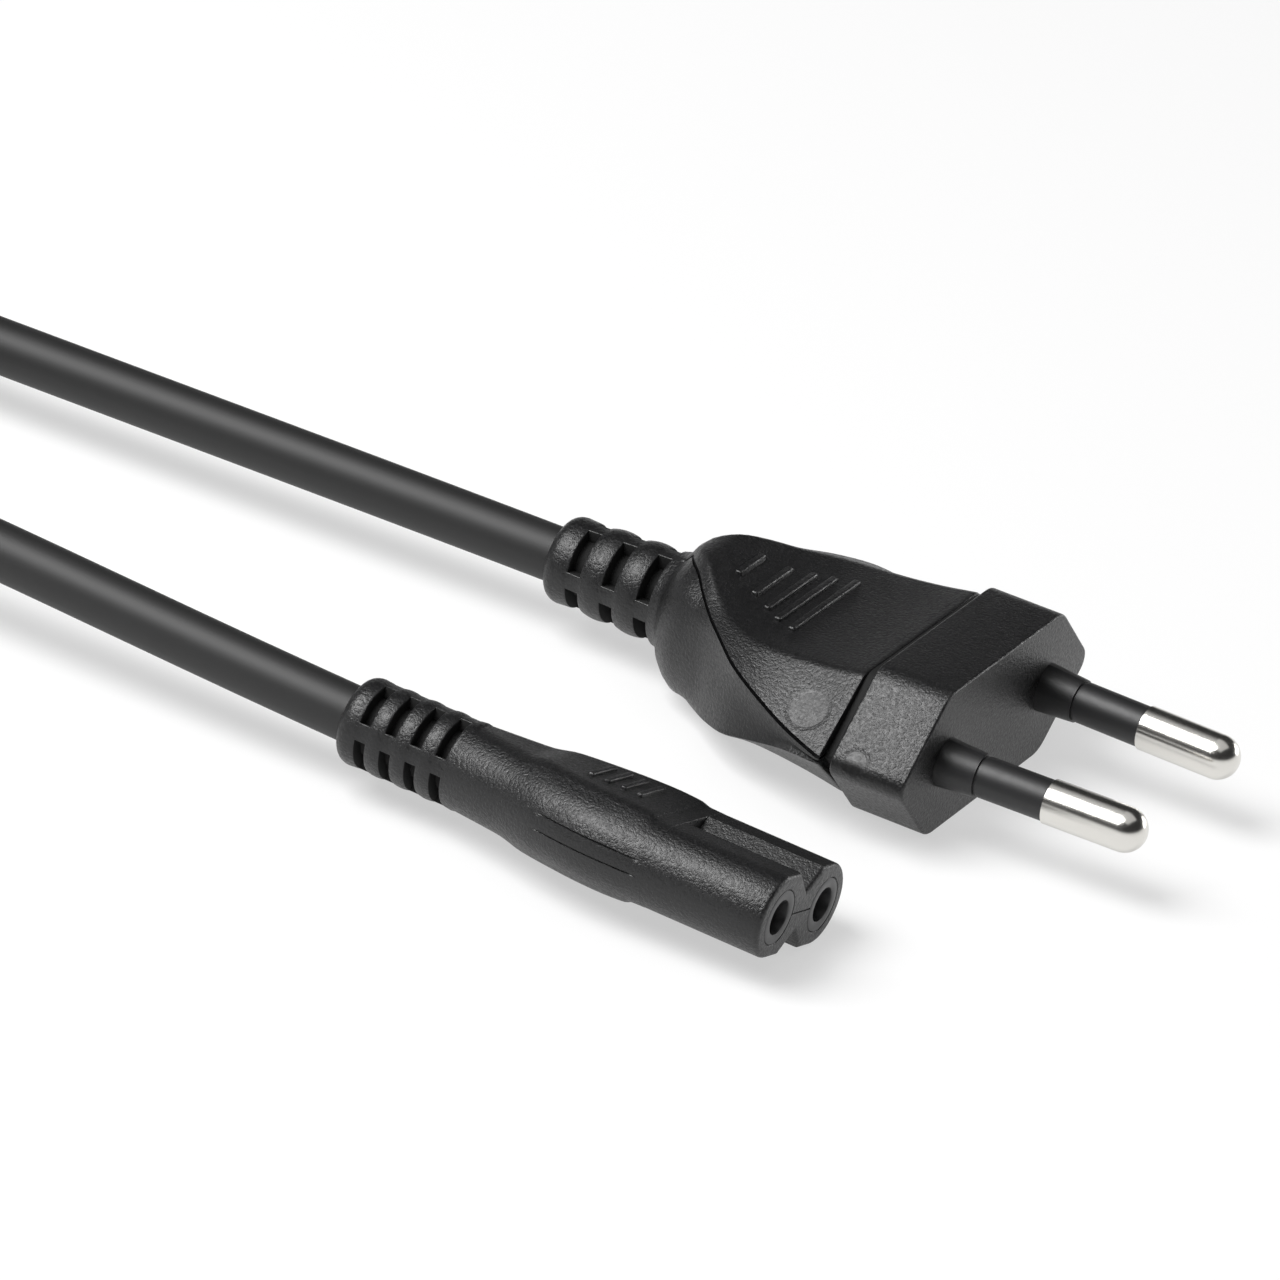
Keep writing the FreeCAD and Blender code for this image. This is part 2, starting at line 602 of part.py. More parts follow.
# Pins with their sleeves, the bridge that holds them, and the wires to them.
plug_place = plug.Placement
pins = {}
sleeves = {}
plug_wires = {}
plug_core_rods = {}
plug_cores = {}
lean = math.tan(math.radians(size("pin_lean")))
for side, sign in SIDES:
    pin = body_in("pin_" + side, PINS[side])
    sketch = sketch_on(pin, "pin_line_" + side, "XZ_Plane", "0")
    loop(sketch, [("-sizes.shank_deep", "0"), ("sizes.pin_long", "0", "sizes.pin_round"),
                  ("sizes.pin_long - sizes.pin_round", "sizes.pin_round"),
                  ("sizes.sleeve_long", "sizes.pin_round"),
                  ("sizes.sleeve_long", "sizes.shank_round"),
                  ("-sizes.shank_deep", "sizes.shank_round")])
    turned(pin, "pin_shape_" + side, sketch)
    hole = sketch_on(pin, "wire_hole_" + side, "YZ_Plane", "-sizes.shank_deep + sizes.wire_hole")
    ring(hole, "0", "0", "sizes.wire_across / 2")
    pocket(pin, "crimp_" + side, hole, "sizes.wire_hole")
    pins[side] = pin
    sleeve = body_in("sleeve_" + side, PINS[side])
    sketch = sketch_on(sleeve, "sleeve_line_" + side, "XZ_Plane", "0")
    groove = "sizes.sleeve_collar - sizes.collar_cut"
    loop(sketch, [("-sizes.sleeve_deep", "sizes.shank_round"),
                  ("sizes.sleeve_long", "sizes.shank_round"),
                  ("sizes.sleeve_long", "sizes.sleeve_round"),
                  ("sizes.collar_long + sizes.collar_gap", "sizes.sleeve_round"),
                  ("sizes.collar_long + sizes.collar_gap", groove),
                  ("sizes.collar_long", groove), ("sizes.collar_long", "sizes.sleeve_collar"),
                  ("0", "sizes.sleeve_base"), ("-sizes.sleeve_deep", "sizes.sleeve_base")])
    turned(sleeve, "sleeve_shape_" + side, sketch)
    sleeves[side] = sleeve
    s = float(sign)
    half = size("pin_base_apart") / 2

    def on_axis(x):
        return (x, s * (half - x * lean), 0)

    slant = math.cos(math.radians(size("pin_lean")))
    back = -size("shank_deep") * slant
    foot = -(size("shank_deep") - size("wire_hole")) * slant
    lead = [(-size("plug_cord_at"), s * cord_half, 0),
            (-size("plug_core_turn"), s * cord_half, 0), on_axis(-size("plug_core_join"))]
    wire = rod(lead + [on_axis(foot)], size("plug_core_bend"), size("wire_across"))
    core = rod(lead + [on_axis(back)], size("plug_core_bend"), size("core_across"))
    plug_wires[side] = placed("plug_wire_" + side, wire, plug_place)
    plug_core_rods[side] = placed("plug_core_rod_" + side, core, plug_place)
    plug_cores[side] = taken("plug_core_" + side, plug_core_rods[side], [plug_wires[side]])
bridge = body_in("bridge_block", PLUG)
sketch = sketch_on(bridge, "bridge_line", "YZ_Plane", "-sizes.bridge_deep")
loop(sketch, [("-sizes.bridge_half_wide", "-sizes.bridge_half_high"),
              ("sizes.bridge_half_wide", "-sizes.bridge_half_high"),
              ("sizes.bridge_half_wide", "sizes.bridge_half_high"),
              ("-sizes.bridge_half_wide", "sizes.bridge_half_high")])
pad(bridge, "bridge", sketch, "sizes.bridge_deep - sizes.bridge_front")

# The spare cord lies in a coil of two layers, drawn as one ring, with a tie flush in it.
coil = body_in("coil_ring", COIL)
sketch = sketch_on(coil, "coil_line", "XZ_Plane", "0")
turn = "sizes.coil_corner"


def rounded(sketch, left, right, low, high, corner):
    loop(sketch, [("%s + %s" % (left, corner), low), ("%s - %s" % (right, corner), low, corner),
                  (right, "%s + %s" % (low, corner)),
                  (right, "%s - %s" % (high, corner), corner),
                  ("%s - %s" % (right, corner), high),
                  ("%s + %s" % (left, corner), high, corner),
                  (left, "%s - %s" % (high, corner)),
                  (left, "%s + %s" % (low, corner), corner)])


rounded(sketch, "sizes.coil_inner", "sizes.coil_outer", "0", "sizes.coil_high", turn)
whole = coil.newObject("PartDesign::Revolution", "coil_turned")
whole.Profile = sketch
whole.ReferenceAxis = (sketch, ["V_Axis"])
whole.Angle = 360
doc.recompute()
tie = body_in("tie_strap", COIL)
sketch = sketch_on(tie, "tie_line", "XZ_Plane", "0")
# its flat sides stand a little proud of the ring's round walls over its whole width
outside = "-sizes.coil_outer - sizes.tie_proud / 2"
inside = "-sizes.coil_inner + sizes.tie_proud"
over = "sizes.coil_high + sizes.tie_over"
rounded(sketch, outside, inside, "0", over, turn)
inner = sketch_on(tie, "tie_room", "XZ_Plane", "0")
rounded(inner, outside + " + sizes.tie_thick", inside + " - sizes.tie_thick",
        "0 + sizes.tie_thick", over + " - sizes.tie_thick", turn + " * 0.6")
pad(tie, "tie_block", sketch, "sizes.tie_wide", True)
pocket(tie, "tie_opening", inner, "sizes.tie_wide + 1", True)

# The two runs of free cord, from inside the reliefs to the outermost turn of the coil.
def joins(spot, side, height):
    """Where a straight run from the spot meets the coil's outermost turn without a kink."""
    across = spot.x - size("coil_x")
    along = spot.y - size("coil_y")
    swing = math.acos(size("coil_line") / math.hypot(across, along))
    angle = math.atan2(along, across) + side * swing
    return V(size("coil_x") + size("coil_line") * math.cos(angle),
             size("coil_y") + size("coil_line") * math.sin(angle), height)


axis = conn_place.Rotation.multVec(V(-1, 0, 0))
start = conn_place.multVec(V(-size("conn_cord_at"), 0, 0))
turn_at = start + axis * size("conn_run")
join = joins(turn_at, -1, size("low_turn"))
conn_cord = placed("conn_cord", rod([start, turn_at, join], size("conn_bend"),
                                    size("cord_across")), FreeCAD.Placement())
start = plug_place.multVec(V(-size("plug_cord_at"), 0, 0))
turn_at = start + V(-size("plug_run"), 0, 0)
join = joins(turn_at, 1, size("high_turn"))
plug_cord = placed("plug_cord", rod([start, turn_at, join], size("plug_bend"),
                                    size("cord_across")), FreeCAD.Placement())
doc.recompute()

# Each piece that fills a space is taken out of the moulding round it.
conn_tools = [insert_room, conn_cord]
for side, sign in SIDES:
    conn_tools += [conn_core_rods[side]]
node("connector_housing", taken("conn_housing", conn, conn_tools))
node("connector_insert", insert)
for side, sign in SIDES:
    node("connector_contact_" + side, contacts[side])
    node("connector_core_" + side, conn_cores[side])
    node("connector_conductor_" + side, conn_wires[side])
metal = [pins["near"], pins["far"], sleeves["near"], sleeves["far"]]
node("plug_bridge", taken("bridge_cut", bridge, metal))
node("plug_housing", taken("plug_cut", plug, metal + [bridge, plug_cord,
                                                      plug_core_rods["near"],
                                                      plug_core_rods["far"],
                                                      plug_wires["near"],
                                                      plug_wires["far"]]))
for side, sign in SIDES:
    node("pin_" + side, pins[side])
    node("pin_sleeve_" + side, sleeves[side])
    node("plug_core_" + side, plug_cores[side])
    node("plug_conductor_" + side, plug_wires[side])
node("cord_connector_run", taken("conn_cord_cut", conn_cord, [coil]))
node("cord_plug_run", taken("plug_cord_cut", plug_cord, [coil]))
node("cord_coil", taken("coil_cut", coil, [tie]))
node("cord_tie", tie)

doc.removeObject("trial")
doc.recompute()
for thing in doc.Objects:
    if "Invalid" in thing.State or "Error" in thing.State:
        raise RuntimeError("not built: %s %s" % (thing.Name, thing.State))
os.makedirs("parts", exist_ok=True)
for name, thing in NODES:
    shape = thing.Shape
    if shape.isNull() or not shape.isValid() or len(shape.Solids) != 1:
        raise RuntimeError("%s: %d solids, valid %s" % (name, len(shape.Solids),
                                                        shape.isValid()))
    shape.exportStep("parts/%s.step" % name)
    print("%-28s %10.2f mm3" % (name, shape.Volume))
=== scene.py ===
import math

import bmesh
import bpy
from mathutils import Matrix, Vector


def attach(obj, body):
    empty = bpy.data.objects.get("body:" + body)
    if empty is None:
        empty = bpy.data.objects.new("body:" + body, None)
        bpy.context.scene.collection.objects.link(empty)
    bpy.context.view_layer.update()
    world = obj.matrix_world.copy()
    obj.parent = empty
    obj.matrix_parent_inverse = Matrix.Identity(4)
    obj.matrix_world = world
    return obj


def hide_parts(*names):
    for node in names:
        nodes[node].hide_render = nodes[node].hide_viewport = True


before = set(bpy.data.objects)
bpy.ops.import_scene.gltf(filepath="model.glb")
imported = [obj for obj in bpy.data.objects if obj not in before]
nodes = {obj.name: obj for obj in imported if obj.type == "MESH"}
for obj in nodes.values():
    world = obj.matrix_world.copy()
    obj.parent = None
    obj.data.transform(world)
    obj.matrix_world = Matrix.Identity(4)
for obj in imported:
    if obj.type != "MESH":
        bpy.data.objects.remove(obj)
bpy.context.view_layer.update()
MM = 0.001


def linear(hex_colour):
    """An sRGB hex colour as linear RGBA."""
    parts = [int(hex_colour[i:i + 2], 16) / 255 for i in (1, 3, 5)]
    return tuple(c / 12.92 if c <= 0.04045 else ((c + 0.055) / 1.055) ** 2.4
                 for c in parts) + (1.0,)


def put(tree, kind, settings=None, **links):
    """Adds a node with its settings and links: Base_Color is an input's name, _0 its number."""
    made = tree.nodes.new(kind)
    for name, value in (settings or {}).items():
        if hasattr(made, name) and name not in made.inputs:
            setattr(made, name, value)
        else:
            made.inputs[name].default_value = value
    for name, source in links.items():
        key = int(name[1:]) if name[1:].isdigit() else name.replace("_", " ")
        tree.links.new(source, made.inputs[key])
    return made


def new_material(name):
    material = bpy.data.materials.new(name)
    material.use_nodes = True
    material.node_tree.nodes.clear()
    return material, material.node_tree


# Moulded PVC: pressed in a spark-eroded tool, so its skin has a fine grain that scatters
# a broad, soft, speckled sheen. The grain is drawn a little coarser than life, to show.
# On the plug two ejector pins of the tool leave a smooth, slightly sunk disc each.
GRAIN = 0.3 * MM
EJECTOR_MARKS = (((9.2, 23.75, 9.4), 1.9), ((15.5, 21.15, 7.8), 1.1))
MARK_EDGE, MARK_DEPTH = 0.2, 0.35
moulded_pvc, t = new_material("moulded PVC")
place = put(t, "ShaderNodeTexCoord")
grain = put(t, "ShaderNodeTexNoise", {"Scale": 1 / GRAIN, "Detail": 2.0, "Roughness": 0.7},
            Vector=place.outputs["Object"])
cloud = put(t, "ShaderNodeTexNoise", {"Scale": 1 / (4 * MM), "Detail": 2.0},
            Vector=place.outputs["Object"])
shade = put(t, "ShaderNodeMix", {"data_type": "RGBA"}, Factor=cloud.outputs["Fac"])
shade.inputs["A"].default_value = linear("#0c0c0d")
shade.inputs["B"].default_value = linear("#131314")
dull = put(t, "ShaderNodeMapRange", {"From Min": 0.3, "From Max": 0.7, "To Min": 0.3,
                                     "To Max": 0.52}, Value=grain.outputs["Fac"])
height = grain.outputs["Fac"]
for centre, radius in EJECTOR_MARKS:
    spot = put(t, "ShaderNodeVectorMath", {"operation": "DISTANCE"}, _0=place.outputs["Object"])
    spot.inputs[1].default_value = [value * MM for value in centre]
    outside = put(t, "ShaderNodeMapRange", {"From Min": (radius - MARK_EDGE) * MM, "To Min": 0.3,
                                            "From Max": (radius + MARK_EDGE) * MM},
                  Value=spot.outputs["Value"])
    higher = put(t, "ShaderNodeMath", {"operation": "ADD"}, _0=height)
    higher.inputs[1].default_value = MARK_DEPTH
    height = put(t, "ShaderNodeMath", {"operation": "MULTIPLY"}, _0=outside.outputs["Result"],
                 _1=higher.outputs[0]).outputs[0]
bump = put(t, "ShaderNodeBump", {"Strength": 0.8, "Distance": 0.1 * MM}, Height=height)
coat = put(t, "ShaderNodeBsdfPrincipled", {"IOR": 1.53}, Base_Color=shade.outputs["Result"],
           Roughness=dull.outputs["Result"], Normal=bump.outputs["Normal"])
put(t, "ShaderNodeOutputMaterial", Surface=coat.outputs["BSDF"])

# The same PVC colour, made duller and less glossy, in the slots and the groove's core: painted shade
# that darkens these recesses.
shade_dulled_pvc, t = new_material("PVC dulled for painted shade")
place = put(t, "ShaderNodeTexCoord")
grain = put(t, "ShaderNodeTexNoise", {"Scale": 1 / GRAIN}, Vector=place.outputs["Object"])
shade = put(t, "ShaderNodeMix", {"data_type": "RGBA"}, Factor=grain.outputs["Fac"])
shade.inputs["A"].default_value = linear("#0d0d0d")
shade.inputs["B"].default_value = linear("#151515")
coat = put(t, "ShaderNodeBsdfPrincipled", {"IOR": 1.45, "Roughness": 0.8},
           Base_Color=shade.outputs["Result"])
put(t, "ShaderNodeOutputMaterial", Surface=coat.outputs["BSDF"])

# Extruded PVC jacket: drawn through a die, smooth and slightly waxy, without grain.
jacket_pvc, t = new_material("extruded PVC jacket")
place = put(t, "ShaderNodeTexCoord")
cloud = put(t, "ShaderNodeTexNoise", {"Scale": 1 / (3 * MM), "Detail": 3.0},
            Vector=place.outputs["Object"])
shade = put(t, "ShaderNodeMix", {"data_type": "RGBA"}, Factor=cloud.outputs["Fac"])
shade.inputs["A"].default_value = linear("#161616")
shade.inputs["B"].default_value = linear("#1c1c1c")
bump = put(t, "ShaderNodeBump", {"Strength": 0.2, "Distance": 0.02 * MM},
           Height=cloud.outputs["Fac"])
coat = put(t, "ShaderNodeBsdfPrincipled", {"IOR": 1.53, "Roughness": 0.55},
           Base_Color=shade.outputs["Result"], Normal=bump.outputs["Normal"])
put(t, "ShaderNodeOutputMaterial", Surface=coat.outputs["BSDF"])

# Nickel plate on turned brass: bright, its polish a little uneven from handling.
nickel, t = new_material("nickel plated brass")
place = put(t, "ShaderNodeTexCoord")
smear = put(t, "ShaderNodeTexNoise", {"Scale": 1 / (1.5 * MM), "Detail": 2.0},
            Vector=place.outputs["Object"])
dull = put(t, "ShaderNodeMapRange", {"To Min": 0.16, "To Max": 0.26},
           Value=smear.outputs["Fac"])
coat = put(t, "ShaderNodeBsdfPrincipled", {"Metallic": 1.0, "Base Color": linear("#dedcd7")},
           Roughness=dull.outputs["Result"])
put(t, "ShaderNodeOutputMaterial", Surface=coat.outputs["BSDF"])

# Nylon sleeve: moulded in a polished tool, smooth black with an even satin sheen.
nylon, t = new_material("nylon sleeve")
place = put(t, "ShaderNodeTexCoord")
cloud = put(t, "ShaderNodeTexNoise", {"Scale": 1 / (0.5 * MM), "Detail": 3.0},
            Vector=place.outputs["Object"])
dull = put(t, "ShaderNodeMapRange", {"To Min": 0.4, "To Max": 0.52},
           Value=cloud.outputs["Fac"])
coat = put(t, "ShaderNodeBsdfPrincipled", {"IOR": 1.53, "Base Color": linear("#1a1a1b")},
           Roughness=dull.outputs["Result"])
put(t, "ShaderNodeOutputMaterial", Surface=coat.outputs["BSDF"])

# Polyamide insert and bridge: harder than the moulding round them, so a little lighter.
polyamide, t = new_material("polyamide insert")
place = put(t, "ShaderNodeTexCoord")
cloud = put(t, "ShaderNodeTexNoise", {"Scale": 1 / (0.4 * MM), "Detail": 2.0},
            Vector=place.outputs["Object"])
bump = put(t, "ShaderNodeBump", {"Strength": 0.3, "Distance": 0.02 * MM},
           Height=cloud.outputs["Fac"])
coat = put(t, "ShaderNodeBsdfPrincipled", {"IOR": 1.53, "Roughness": 0.4,
                                           "Base Color": linear("#2a2a2b")},
           Normal=bump.outputs["Normal"])
put(t, "ShaderNodeOutputMaterial", Surface=coat.outputs["BSDF"])

# Spring brass: rolled strip, warm yellow, seen only deep in the sockets.
spring_brass, t = new_material("spring brass")
place = put(t, "ShaderNodeTexCoord")
smear = put(t, "ShaderNodeTexNoise", {"Scale": 1 / (0.8 * MM)}, Vector=place.outputs["Object"])
dull = put(t, "ShaderNodeMapRange", {"To Min": 0.25, "To Max": 0.4}, Value=smear.outputs["Fac"])
coat = put(t, "ShaderNodeBsdfPrincipled", {"Metallic": 1.0, "Base Color": linear("#d9b25c")},
           Roughness=dull.outputs["Result"])
put(t, "ShaderNodeOutputMaterial", Surface=coat.outputs["BSDF"])

# Bare copper: fine drawn strands, out of sight.
bare_copper, t = new_material("bare copper")
place = put(t, "ShaderNodeTexCoord")
strands = put(t, "ShaderNodeTexNoise", {"Scale": 1 / (0.2 * MM)},
              Vector=place.outputs["Object"])
dull = put(t, "ShaderNodeMapRange", {"To Min": 0.25, "To Max": 0.45},
           Value=strands.outputs["Fac"])
coat = put(t, "ShaderNodeBsdfPrincipled", {"Metallic": 1.0, "Base Color": linear("#d8875c")},
           Roughness=dull.outputs["Result"])
put(t, "ShaderNodeOutputMaterial", Surface=coat.outputs["BSDF"])


def insulation(name, dark, light):
    """Extruded PVC on a core: smooth and fairly glossy, in the core's colour, out of sight."""
    material, tree = new_material(name)
    where = put(tree, "ShaderNodeTexCoord")
    mottle = put(tree, "ShaderNodeTexNoise", {"Scale": 1 / (1 * MM)},
                 Vector=where.outputs["Object"])
    tone = put(tree, "ShaderNodeMix", {"data_type": "RGBA"}, Factor=mottle.outputs["Fac"])
    tone.inputs["A"].default_value = linear(dark)
    tone.inputs["B"].default_value = linear(light)
    face = put(tree, "ShaderNodeBsdfPrincipled", {"IOR": 1.53, "Roughness": 0.35},
               Base_Color=tone.outputs["Result"])
    put(tree, "ShaderNodeOutputMaterial", Surface=face.outputs["BSDF"])
    return material


brown_core = insulation("brown core insulation", "#5a3a24", "#64412a")
blue_core = insulation("blue core insulation", "#2b5c9e", "#3167ac")

# Woven hook strap: matt black, with fine ribs. A wave's scale of 1 has 3.2 bands in a metre.
RIB = 0.6 * MM
strap_weave, t = new_material("woven strap")
place = put(t, "ShaderNodeTexCoord")
ribs = put(t, "ShaderNodeTexWave", {"Scale": 1 / RIB / 3.2, "Distortion": 1.0,
                                    "bands_direction": "Y"}, Vector=place.outputs["Object"])
shade = put(t, "ShaderNodeMix", {"data_type": "RGBA"}, Factor=ribs.outputs["Fac"])
shade.inputs["A"].default_value = linear("#1d1d1e")
shade.inputs["B"].default_value = linear("#303031")
bump = put(t, "ShaderNodeBump", {"Strength": 0.6, "Distance": 0.08 * MM},
           Height=ribs.outputs["Fac"])
coat = put(t, "ShaderNodeBsdfPrincipled", {"Roughness": 0.85},
           Base_Color=shade.outputs["Result"], Normal=bump.outputs["Normal"])
put(t, "ShaderNodeOutputMaterial", Surface=coat.outputs["BSDF"])

FINISH = {
    "connector_housing": moulded_pvc, "plug_housing": moulded_pvc,
    "connector_insert": polyamide, "plug_bridge": polyamide,
    "connector_contact_near": spring_brass, "connector_contact_far": spring_brass,
    "connector_conductor_near": bare_copper, "connector_conductor_far": bare_copper,
    "plug_conductor_near": bare_copper, "plug_conductor_far": bare_copper,
    "connector_core_near": brown_core, "plug_core_near": brown_core,
    "connector_core_far": blue_core, "plug_core_far": blue_core,
    "pin_near": nickel, "pin_far": nickel, "pin_sleeve_near": nylon, "pin_sleeve_far": nylon,
    "cord_connector_run": jacket_pvc, "cord_plug_run": jacket_pvc, "cord_coil": jacket_pvc,
    "cord_tie": strap_weave,
}
for name, material in FINISH.items():
    mesh = nodes[name].data
    mesh.materials.clear()
    mesh.materials.append(material)

# The mouldings. Shapes are drawn in millimetres in the frame of the connector or the plug,
# with X running out of the middle of its end face, and are moved to their place at the end.
# The connector lies nose down, rolled over on its far lobe.
NOSE_DOWN, ROLLED = 2, -15
CONNECTOR = (Matrix.Translation((22.25, 0, 4.7603))
             @ Matrix.Rotation(math.radians(NOSE_DOWN), 4, "Y")
             @ Matrix.Rotation(math.radians(ROLLED), 4, "X"))
PLUG = Matrix.Translation((20.4, 37.65, 6.85))
# Points nearer than this are one point.
SAME = 0.0005
# Edges sharper than this stay sharp in the shading.
SHARP = math.radians(28)


def ease(share):
    """A smooth start and end between 0 and 1."""
    return share * share * (3 - 2 * share)


def between(at, start, end):
    """1 inside a stretch, fading to 0 over a millimetre at both ends."""
    return min(1.0, max(0.0, min(at - start, end - at)))


def along(rows, at):
    """The values at a distance, on a smooth curve through a table's rows with no overshoot."""
    last = len(rows) - 1
    i = min(last, max(1, sum(row[0] <= at for row in rows)))
    low, high = rows[i - 1], rows[i]
    span = high[0] - low[0]
    s = min(1.0, max(0.0, (at - low[0]) / span))
    values = []
    for n in range(1, len(low)):
        slope = (high[n] - low[n]) / span
        before = after = slope
        if i > 1:
            before = (low[n] - rows[i - 2][n]) / (low[0] - rows[i - 2][0])
        if i < last:
            after = (rows[i + 1][n] - high[n]) / (rows[i + 1][0] - high[0])
        lean = 2 * before * slope / (before + slope) if before * slope > 0 else 0.0
        fall = 2 * after * slope / (after + slope) if after * slope > 0 else 0.0
        values.append(low[n] * (1 + 2 * s) * (1 - s) ** 2 + high[n] * s * s * (3 - 2 * s)
                      + span * (lean * s * (1 - s) ** 2 - fall * s * s * (1 - s)))
    return values


def arc(across, up, radius, angles):
    return [(across + radius * math.cos(math.radians(a)), up + radius * math.sin(math.radians(a)))
            for a in angles]


def line_to(start, end, count):
    """Evenly spaced points after the start, up to the end."""
    return [(start[0] + (end[0] - start[0]) * k / count, start[1] + (end[1] - start[1]) * k / count)
            for k in range(1, count + 1)]


def around(quarter, below=None):
    """A whole ring from its first quarter, from the Y axis to the Z axis, and its lower one."""
    upper = quarter + [(-y, z) for y, z in reversed(quarter[:-1])]
    if below:
        quarter = below
    lower = quarter + [(-y, z) for y, z in reversed(quarter[:-1])]
    return upper + [(y, -z) for y, z in reversed(lower[1:-1])]


def tube(bm, rings):
    """A grid wrapped once round the rings, each given as its X and its outline."""
    count, rows = len(rings[0][1]), len(rings) - 1
    made = bmesh.ops.create_grid(bm, x_segments=count, y_segments=rows, size=1)["verts"]
    reach = max(vert.co.x for vert in made)
    for vert in made:
        x, outline = rings[round((vert.co.y / reach + 1) / 2 * rows)]
        y, z = outline[round((vert.co.x / reach + 1) / 2 * count) % count]
        vert.co = (x, y, z)
    bmesh.ops.remove_doubles(bm, verts=made, dist=SAME)


def rounded(radius, count):
    """How far back and how far in an edge's rounding is, from the face to the side."""
    turns = [math.pi / 2 * k / count for k in range(count + 1)]
    return [(radius * (1 - math.cos(a)), radius * (1 - math.sin(a))) for a in turns]


def close_ends(bm):
    bmesh.ops.edgeloop_fill(bm, edges=[edge for edge in bm.edges if edge.is_boundary])


def lathe(bm, line, axis_y=0, steps=64):
    """Spins a line of X and radius round an axis along X."""
    chain = [bm.verts.new((x, axis_y, r)) for x, r in line]
    edges = [bm.edges.new(pair) for pair in zip(chain, chain[1:])]
    bmesh.ops.spin(bm, geom=chain + edges, cent=(0, axis_y, 0), axis=(1, 0, 0),
                   angle=2 * math.pi, steps=steps, use_merge=True)


TAIL_ROUND = 1.1
SLOT_FLOOR = 2.7
WEB = 12
RIM_BEVEL = 0.07


def relief(bm, tail, front, radii, rows, wide, crown, collar):
    """A strain relief: spun bands, with the faces of every slot pushed in beside the cord.

    It tapers from the front's radius to the tail's. Its slots lie in rows, four to a row with
    webs between them, and each band between two rows swells by the crown in its middle. The
    collar is how far the rounding draws in both ends.
    """
    pitch = rows[0] - rows[1]

    def radius(x):
        full = radii[0] + (radii[1] - radii[0]) * (x - tail) / (front - tail)
        if rows[-1] <= x <= rows[0]:
            share = ((rows[0] - x) / pitch) % 1
            return full - crown * (2 * share - 1) ** 2
        off = min(abs(x - rows[0]), abs(x - rows[-1])) / (pitch / 2)
        full -= crown * max(0.0, 1 - off) ** 2
        near = min((x - tail) / TAIL_ROUND, (front - x) / collar)
        return full - collar * (1 - math.sqrt(max(0.0, 1 - (1 - min(1, near)) ** 2)))

    def in_slot(x, more=0.0):
        return any(abs(x - middle) < wide / 2 + more for middle in rows)

    # closer together where the ends round off and beside the slots
    stations = {tail + TAIL_ROUND * k for k in (0.0, 0.03, 0.09, 0.2, 0.35, 0.55, 0.77, 1.0)}
    stations |= {front - collar * k for k in (0.0, 0.05, 0.18, 0.4, 0.7, 1.0)}
    for middle in rows:
        stations |= {middle + side * (wide / 2 + more) for side in (-1, 1) for more in (0, 0.16)}
        stations |= {middle + pitch / 2 + (pitch - wide) * k / 8 for k in range(-3, 4)
                     if middle + pitch < front}
    old = set(bm.faces)
    lathe(bm, [(tail, 0.0)] + [(x, radius(x)) for x in sorted(stations)] + [(front, 0.0)], steps=120)
    new = [face for face in bm.faces if face not in old]
    bmesh.ops.remove_doubles(bm, verts=list({v for face in new for v in face.verts}), dist=SAME)
    slots = []
    for face in bm.faces:
        spot = face.calc_center_median()
        turned = math.degrees(math.atan2(spot.z, spot.y)) % 90
        if face not in old and WEB < turned < 90 - WEB and in_slot(spot.x):
            slots.append(face)
    pushed = bmesh.ops.extrude_face_region(bm, geom=slots)["geom"]
    bmesh.ops.delete(bm, geom=slots, context="FACES_ONLY")
    for vert in pushed:
        if isinstance(vert, bmesh.types.BMVert):
            # the slot's walls and floor take the duller PVC: painted shade in the slots
            for face in vert.link_faces:
                face.material_index = 1
            inward = SLOT_FLOOR / math.hypot(vert.co.y, vert.co.z)
            vert.co = (vert.co.x, vert.co.y * inward, vert.co.z * inward)
    rims = [edge for edge in bm.edges
            if edge.calc_face_angle(0) > 0.9 and not old & set(edge.link_faces)
            and all(in_slot(v.co.x, 0.01) and math.hypot(v.co.y, v.co.z) > SLOT_FLOOR + 0.3
                    for v in edge.verts)]
    bmesh.ops.bevel(bm, geom=rims, offset=RIM_BEVEL, segments=2, profile=0.5, affect="EDGES",
                    material=-1)


RIDGE_ROOT = 0.6


def ridge(bm, at, half, base, wide, tall):
    """A low grip ridge across a pad, with rounded ends and top, above and below."""
    for side in (1, -1):
        made = bmesh.ops.create_cube(bm, size=1)["verts"]
        size = Matrix.Diagonal((wide, 2 * half, tall + RIDGE_ROOT, 1))
        bmesh.ops.transform(bm, verts=made, matrix=Matrix.Translation(
            (at, 0, side * (base + (tall - RIDGE_ROOT) / 2))) @ size)
        outer = {edge for vert in made for edge in vert.link_edges}
        inner = [edge for edge in outer if all(side * v.co.z < base for v in edge.verts)]
        bmesh.ops.bevel(bm, geom=list(outer.difference(inner)), offset=0.3 * wide, segments=3,
                        profile=0.5, affect="EDGES", material=-1)


def put_in(bm, name, place, materials, stands_for):
    """Shades a shape by its angles, moves it to its place and puts it in for a CAD node."""
    bmesh.ops.recalc_face_normals(bm, faces=bm.faces)
    for face in bm.faces:
        face.smooth = True
    for edge in bm.edges:
        edge.smooth = edge.calc_face_angle(0) < SHARP
    bm.transform(Matrix.Scale(MM, 4) @ place)
    mesh = bpy.data.meshes.new(name)
    bm.to_mesh(mesh)
    bm.free()
    for material in materials:
        mesh.materials.append(material)
    piece = bpy.data.objects.new(name, mesh)
    bpy.context.collection.objects.link(piece)
    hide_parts(stands_for)
    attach(piece, "root")


# The connector's moulding: nose with its V notches, handle with its grip panel, relief.
# Its outline is two lobes round the sockets, joined by flats into which the V is cut.
LOBE_RADIUS, SOCKET_Y = 3.65, 4.3
V_FOOT, V_HALF = 1.8, 2.2
V_DEPTH = LOBE_RADIUS - V_FOOT
NOSE = 11.2
NOSE_EDGE = 0.4
INSERT_BORE, INSERT_DEEP = 2.46, 15.8
PARTING_HALF, PARTING_DEEP = 0.07, 0.12

